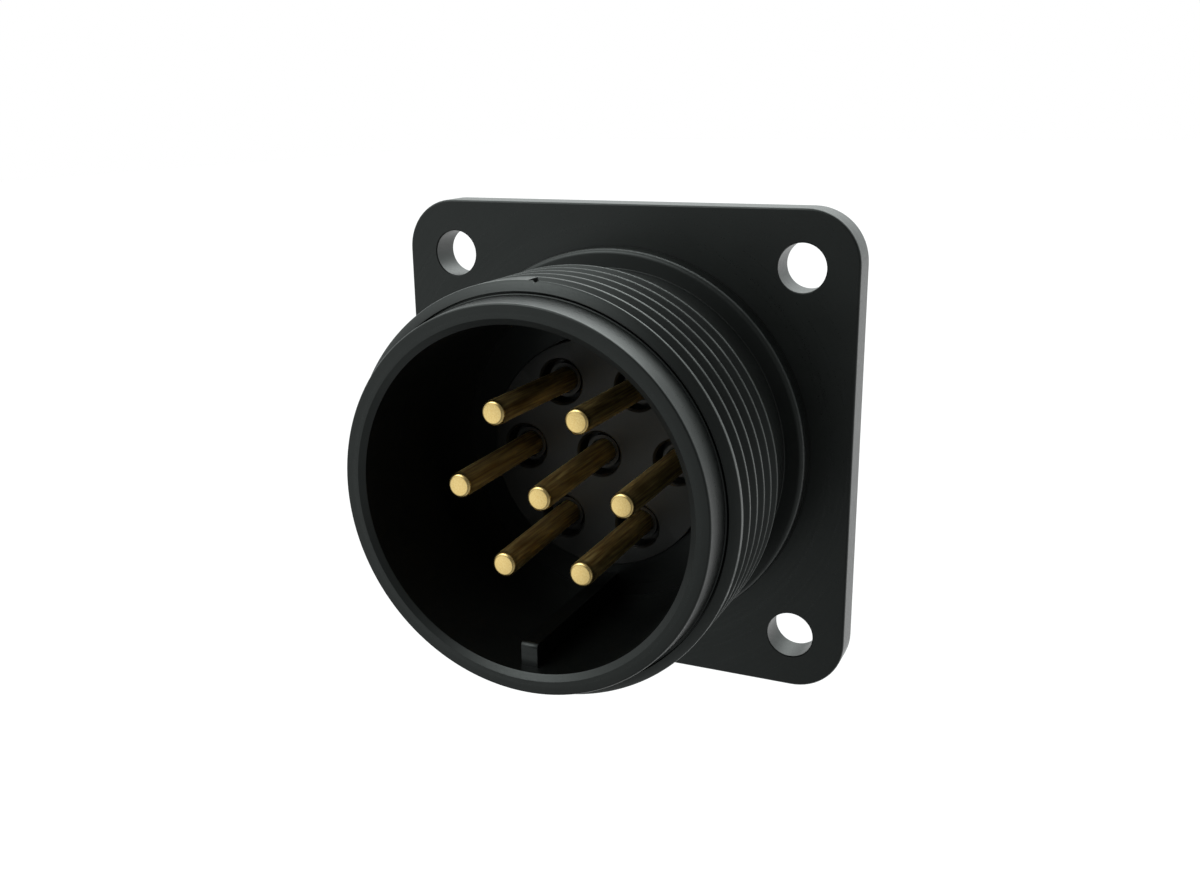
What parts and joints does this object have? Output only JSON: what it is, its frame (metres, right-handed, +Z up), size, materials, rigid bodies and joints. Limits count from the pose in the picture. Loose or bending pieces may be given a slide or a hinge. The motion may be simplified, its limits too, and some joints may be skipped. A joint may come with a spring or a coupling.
{
  "type": "multi-pin connector",
  "caption": "Square-flange panel receptacle with a threaded round shell, a keyed bore, male pin contacts in a recessed insulator, and solder cups behind.",
  "frame": {"origin": "centre of the flange's mounting face, on the connector's axis", "axes": "+Y along the axis, from the mouth through the flange to the solder cups; +Z up, with the key rib at the bottom of the bore; +X to the right as seen from the mouth"},
  "size_m": [0.035, 0.0267, 0.035],
  "materials": {
    "black_metal": "satin black coating on light alloy",
    "black_resin": "moulded black resin, dull",
    "gold_plate": "gold plate on copper alloy, bright",
    "spring_steel": "plain spring steel"
  },
  "bodies": {
    "root": {"shell": "black_metal", "front_insulator": "black_resin", "rear_insulator": "black_resin", "retaining_ring": "spring_steel", "contact_a": "gold_plate", "contact_b": "gold_plate", "contact_c": "gold_plate", "contact_d": "gold_plate", "contact_e": "gold_plate", "contact_f": "gold_plate", "contact_g": "gold_plate"}
  },
  "joints": []
}
